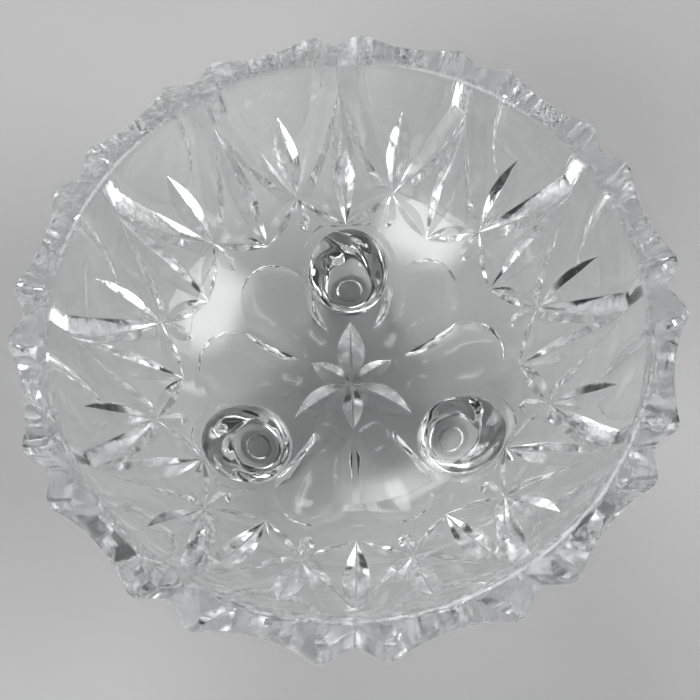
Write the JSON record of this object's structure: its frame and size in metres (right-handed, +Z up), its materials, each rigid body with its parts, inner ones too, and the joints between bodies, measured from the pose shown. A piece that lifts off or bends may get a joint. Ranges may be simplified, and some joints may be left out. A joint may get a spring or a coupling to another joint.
{
  "type": "footed candy dish",
  "caption": "Clear crystal candy dish: round open bowl with a notched, scalloped rim, star and fan cuts on its wall and petals under its floor, standing on rounded glass feet.",
  "frame": {"origin": "on the table, straight below the middle of the bowl", "axes": "+Z up along the bowl's axis; +Y towards the back foot; +X to the right"},
  "size_m": [0.1514, 0.1514, 0.074],
  "materials": {
    "crystal": "polished, with satin cut facets"
  },
  "bodies": {
    "root": {"bowl": "crystal", "foot_back": "crystal", "foot_left": "crystal", "foot_right": "crystal"}
  },
  "joints": []
}
